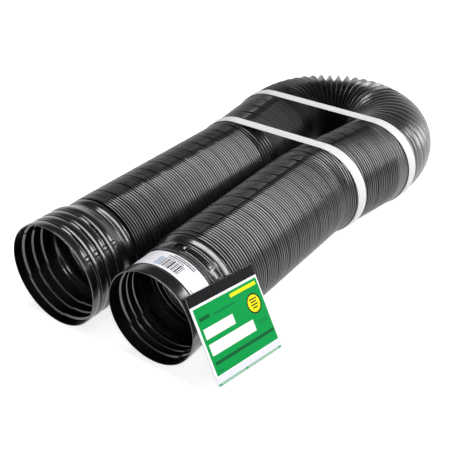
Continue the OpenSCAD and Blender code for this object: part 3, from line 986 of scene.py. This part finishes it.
def make_card():
    # Coated display card printed in flat colours; u and v are mm from its printed corner
    material, tree, shader = plastic("printed_display_card", 0.55, 0.1)
    w, h = trims().tag_width / MM, trims().tag_height / MM
    u, v = print_axes(tree)
    colour = rgba(linear_colour("#f7f7fb"))
    colour = over(tree, colour, "#e9e9f4", box_mask(tree, u, v, 0.0, w, 71.2, h))
    green = linear_colour("#00a550")
    node = add_node(tree, "ShaderNodeMix", {"Factor": box_mask(tree, u, v, 3.2, w - 1.8, 2.4, 70.6), "A": colour,
                                            "B": rgba(colours().card)}, data_type="RGBA")
    colour = node.outputs["Result"]
    # two broad white bars and plain lines stand where a printed card has its words
    colour = over(tree, colour, "#f4f8f2", any_mask(tree, [
        box_mask(tree, u, v, 7.0, 51.0, 24.0, 34.4), box_mask(tree, u, v, 7.0, 75.0, 39.6, 51.4)]))
    colour = over(tree, colour, "#0b5a32", any_mask(tree, [
        box_mask(tree, u, v, 7.0, 21.5, 12.4, 16.0), box_mask(tree, u, v, 7.0, 99.0, 57.6, 60.8)]))
    colour = over(tree, colour, "#0a7a43", any_mask(tree, [
        box_mask(tree, u, v, 27.0, 59.0, 14.2, 16.2), box_mask(tree, u, v, 80.0, 95.0, 44.0, 45.0),
        box_mask(tree, u, v, 82.0, 95.0, 46.4, 47.4), box_mask(tree, u, v, 6.0, 16.0, 66.4, 67.6)]))
    colour = over(tree, colour, "#f2ea1e", box_mask(tree, u, v, 56.5, 97.0, 5.2, 9.0))
    # round spot
    colour = over(tree, colour, "#14140f", disc_mask(tree, u, v, 85.0, 25.7, 10.6))
    colour = over(tree, colour, "#f5e71c", disc_mask(tree, u, v, 85.0, 25.7, 9.1))
    colour = over(tree, colour, "#2a2a14", any_mask(tree, [
        box_mask(tree, u, v, 79.5, 90.5, 20.3, 21.7), box_mask(tree, u, v, 80.8, 89.2, 23.3, 24.7),
        box_mask(tree, u, v, 80.0, 90.0, 26.3, 27.7), box_mask(tree, u, v, 81.5, 88.5, 29.3, 30.7)]))
    # thin green line with round ends along the bottom
    stripe = any_mask(tree, [box_mask(tree, u, v, 2.2, 98.8, 78.0, 80.2), disc_mask(tree, u, v, 2.2, 79.1, 1.1),
                             disc_mask(tree, u, v, 98.8, 79.1, 1.1)])
    colour = over(tree, colour, "#10a35c", stripe)
    colour = over(tree, colour, "#f0f3f0", any_mask(tree, [
        box_mask(tree, u, v, 5.0, 42.0, 78.8, 79.4), box_mask(tree, u, v, 46.0, 96.0, 78.8, 79.4)]))
    # painted shadow: a dark strip along the card's top edge, standing where the card's shadow falls on the pipe
    colour = over(tree, colour, "#0e1013", box_mask(tree, u, v, -5.0, w + 5, -30.0, -0.2))
    tree.links.new(colour, shader.inputs["Base Color"])
    fibre = noise(tree, 500.0, 2.0)
    bump = add_node(tree, "ShaderNodeBump", {"Strength": 0.05, "Distance": 0.0001, "Height": fibre.outputs["Fac"]})
    tree.links.new(bump.outputs["Normal"], shader.inputs["Normal"])
    return material


def make_card_back():
    # Uncoated back and cut edge of the card: pale grey board, matt
    material, tree, shader = plastic("uncoated_card_back", 0.7, 0.3)
    fibre = noise(tree, 260.0, 4.0)
    mix = add_node(tree, "ShaderNodeMix", {"Factor": fibre.outputs["Fac"], "A": rgba(linear_colour("#d9d8d3")),
                                           "B": rgba(linear_colour("#e8e7e3"))}, data_type="RGBA")
    tree.links.new(mix.outputs["Result"], shader.inputs["Base Color"])
    return material


class PIPE_OT_tag(bpy.types.Operator):
    """The printed card fixed to the right leg"""

    bl_idname = "pipe.tag"
    bl_label = "Tag"

    def execute(self, context):
        tag_card(make_card(), make_card_back())
        return {"FINISHED"}


def card_point(p, q, t):
    """A point of the card in the row frame: p down the card, q along its width, t off it (mm)."""
    turn, tilt = math.radians(TAG_TURN), math.radians(TAG_TILT)
    x, y = p * math.cos(turn) - q * math.sin(turn), p * math.sin(turn) + q * math.cos(turn)
    x, y, z = x + TAG_DROP, y + TAG_Y, t + sizes().pipe_radius / MM + 0.3
    x, z = x * math.cos(tilt) + z * math.sin(tilt), -x * math.sin(tilt) + z * math.cos(tilt)
    _, x0, y0, _ = SPIGOT_PLACE
    return np.array([x + x0, y + y0, z + sizes().axis_height / MM]) * MM


def tag_card(material, back):
    """The card: a thin sheet with rounded rims, whose back is a second material."""
    w, h = trims().tag_width / MM, trims().tag_height / MM
    p0, p1, q0, q1 = -h / 2 - TAG_SHADOW_STRIP, h / 2, -w / 2, w / 2
    vertices, uv, faces = [], [], []
    cols, rows = 24, 22
    for top in (1, 0):
        for j in range(rows + 1):
            for i in range(cols + 1):
                p, q = p0 + (p1 - p0) * j / rows, q0 + (q1 - q0) * i / cols
                vertices.append(card_point(p, q, TAG_T * top))
                uv.append(((q - q0) * MM, (p + h / 2) * MM))
    n = (rows + 1) * (cols + 1)

    def at(j, i, top):
        return (0 if top else n) + j * (cols + 1) + i

    for j in range(rows):
        for i in range(cols):
            faces.append((at(j, i, 1), at(j, i + 1, 1), at(j + 1, i + 1, 1), at(j + 1, i, 1)))
            faces.append((at(j, i, 0), at(j + 1, i, 0), at(j + 1, i + 1, 0), at(j, i + 1, 0)))
    for j in range(rows):
        for i in (0, cols):
            faces.append((at(j, i, 1), at(j + 1, i, 1), at(j + 1, i, 0), at(j, i, 0)))
    for i in range(cols):
        for j in (0, rows):
            faces.append((at(j, i, 1), at(j, i + 1, 1), at(j, i + 1, 0), at(j, i, 0)))
    tag = new_object("tag_card", vertices, faces, material, uv)
    outward(tag)
    tag.data.materials.append(back)
    front = np.array(card_point(0, 0, 1) - card_point(0, 0, 0))
    front /= np.linalg.norm(front)
    for polygon in tag.data.polygons:
        polygon.material_index = 0 if float(np.dot(polygon.normal, front)) > 0.5 else 1
    m = tag.modifiers.new("rim", "BEVEL")
    m.width, m.segments, m.limit_method, m.angle_limit = 0.00018, 2, "ANGLE", math.radians(60)
    bake_modifiers(tag)
    smooth(tag, 40)
    return finish_piece(tag, "tag_card", "tag")


# ------------------------------------------------------------------- stage


AZIMUTH, ELEVATION, FOCAL = math.radians(35.35), math.radians(31.904), 852.1 / 450 * 36
CAMERA_AT = (0.4958, -0.7988, 0.5905)
# world: height of the ceiling's lower edge and of its full dimness as sines, its light, the fill
CEILING_FROM, CEILING_FULL, CEILING_LIGHT, FILL_LIGHT = 0.22, 0.5, 0.04, 0.1


def seen_directly(tree):
    """1 for camera, glossy and transmission rays, which see the white backdrop."""
    path = add_node(tree, "ShaderNodeLightPath").outputs
    return any_mask(tree, [path["Is Camera Ray"], path["Is Glossy Ray"], path["Is Transmission Ray"]])


def make_floor():
    # Matt white studio board
    material = bpy.data.materials.new("matt_white_board")
    material.use_nodes = True
    tree = material.node_tree
    tree.nodes.clear()
    diffuse = add_node(tree, "ShaderNodeBsdfDiffuse", {"Color": (0.8, 0.8, 0.8, 1)})
    # away from the lamps the board fades into the white backdrop
    place = add_node(tree, "ShaderNodeTexCoord").outputs["Object"]
    away = add_node(tree, "ShaderNodeVectorMath", {0: place}, operation="LENGTH").outputs["Value"]
    glow_level = math_node(tree, "MULTIPLY", seen_directly(tree), ramp(tree, away, 0.7, 2.2, 0.78, 1.0))
    glow = add_node(tree, "ShaderNodeEmission", {"Color": (1, 1, 1, 1), "Strength": glow_level})
    both = add_node(tree, "ShaderNodeAddShader", {0: diffuse.outputs[0], 1: glow.outputs[0]})
    add_node(tree, "ShaderNodeOutputMaterial", {"Surface": both.outputs[0]})
    return material


def soft_lamp(name, at, aim, size, power, size_y=None):
    data = bpy.data.lights.new(name, "AREA")
    data.energy, data.size = power, size
    if size_y:
        data.shape, data.size_y = "RECTANGLE", size_y
    lamp = bpy.data.objects.new(name, data)
    bpy.context.scene.collection.objects.link(lamp)
    lamp.location = at
    lamp.rotation_euler = (Vector(at) - Vector(aim)).to_track_quat("Z", "Y").to_euler()
    return lamp


class PIPE_OT_stage(bpy.types.Operator):
    """Floor, world, soft lights and camera"""

    bl_idname = "pipe.stage"
    bl_label = "Stage"

    def execute(self, context):
        scene = context.scene
        scene.view_settings.view_transform = "Standard"
        floor = new_object("floor", [(-6, -6, -0.0004), (6, -6, -0.0004), (6, 6, -0.0004), (-6, 6, -0.0004)],
                           [(0, 1, 2, 3)], make_floor())
        world = bpy.data.worlds.new("studio") if scene.world is None else scene.world
        scene.world = world
        world.use_nodes = True
        tree = world.node_tree
        tree.nodes.clear()
        # white all round for the camera; gloss shows the white backdrop and a dim ceiling over it
        path = add_node(tree, "ShaderNodeLightPath").outputs
        upward = add_node(tree, "ShaderNodeSeparateXYZ", {0: add_node(tree, "ShaderNodeTexCoord").outputs["Generated"]})
        mirrored = math_node(tree, "MAXIMUM", path["Is Glossy Ray"], path["Is Transmission Ray"])
        sweep = ramp(tree, upward.outputs[2], CEILING_FROM, CEILING_FULL, 1.0, CEILING_LIGHT)
        strength = math_node(tree, "MAXIMUM", path["Is Camera Ray"], math_node(tree, "MULTIPLY", mirrored, sweep))
        strength = math_node(tree, "MAXIMUM", strength, FILL_LIGHT)
        backdrop = add_node(tree, "ShaderNodeBackground", {"Color": (1, 1, 1, 1), "Strength": strength})
        add_node(tree, "ShaderNodeOutputWorld", {"Surface": backdrop.outputs[0]})
        # an arc of strips over the legs draws one bright line along every pleat
        for name, degrees, size, power in (("overhead_strip", -9, 0.8, 7.0), ("right_top_strip", 22, 0.8, 7.0),
                                           ("right_strip", 53, 0.8, 6.5)):
            a = math.radians(degrees)
            strip = soft_lamp(name, (1.5 * math.sin(a), -0.22, 0.06 + 1.5 * math.cos(a)), (0, 0, 0), size, power, 0.36)
            strip.rotation_euler = (0, a, 0)
        soft_lamp("front_softbox", (0.85, -1.05, 1.1), (0.0, -0.25, 0.06), 0.28, 2.2, 0.28)
        soft_lamp("back_top_softbox", (0.85, 0.95, 0.95), (0.05, 0, 0.06), 0.5, 4.0, 0.3)
        soft_lamp("back_right_softbox", (0.85, 1.35, 0.36), (0.1, 0.1, 0.06), 0.45, 5.0, 0.6)
        camera = bpy.data.objects.new("camera", bpy.data.cameras.new("camera"))
        scene.collection.objects.link(camera)
        camera.data.sensor_fit, camera.data.sensor_width = "HORIZONTAL", 36
        camera.data.lens, camera.data.clip_start, camera.data.clip_end = FOCAL, 0.01, 50
        back = Vector((math.sin(AZIMUTH) * math.cos(ELEVATION), -math.cos(AZIMUTH) * math.cos(ELEVATION),
                       math.sin(ELEVATION)))
        camera.location = CAMERA_AT
        camera.rotation_euler = back.to_track_quat("Z", "Y").to_euler()
        scene.camera = camera
        return {"FINISHED"}


class PIPE_PT_panel(bpy.types.Panel):
    """Sizes, colours and steps of the pipe"""

    bl_label = "Drainage pipe"
    bl_idname = "PIPE_PT_panel"
    bl_space_type = "VIEW_3D"
    bl_region_type = "UI"
    bl_category = "Drainage pipe"

    def draw(self, context):
        layout = self.layout
        for group in (context.scene.pipe_sizes, context.scene.trim_sizes, context.scene.pipe_colours):
            for name in group.__annotations__:
                layout.prop(group, name)
        for operator in OPERATORS:
            layout.operator(operator.bl_idname)


GROUPS = (("pipe_sizes", PipeSizes), ("trim_sizes", TrimSizes), ("pipe_colours", PipeColours))
OPERATORS = (PIPE_OT_stage, PIPE_OT_pleats, PIPE_OT_socket_cuff, PIPE_OT_spigot_cuff, PIPE_OT_straps,
             PIPE_OT_label, PIPE_OT_tag)
CLASSES = tuple(group for _, group in GROUPS) + OPERATORS + (PIPE_PT_panel,)


def register():
    for c in CLASSES:
        bpy.utils.register_class(c)
    for name, group in GROUPS:
        setattr(bpy.types.Scene, name, PointerProperty(type=group))


def unregister():
    for name, _ in GROUPS:
        delattr(bpy.types.Scene, name)
    for c in reversed(CLASSES):
        bpy.utils.unregister_class(c)


def main():
    register()
    for operator in OPERATORS:
        group, name = operator.bl_idname.split(".")
        getattr(getattr(bpy.ops, group), name)()


if __name__ == "__main__":
    main()
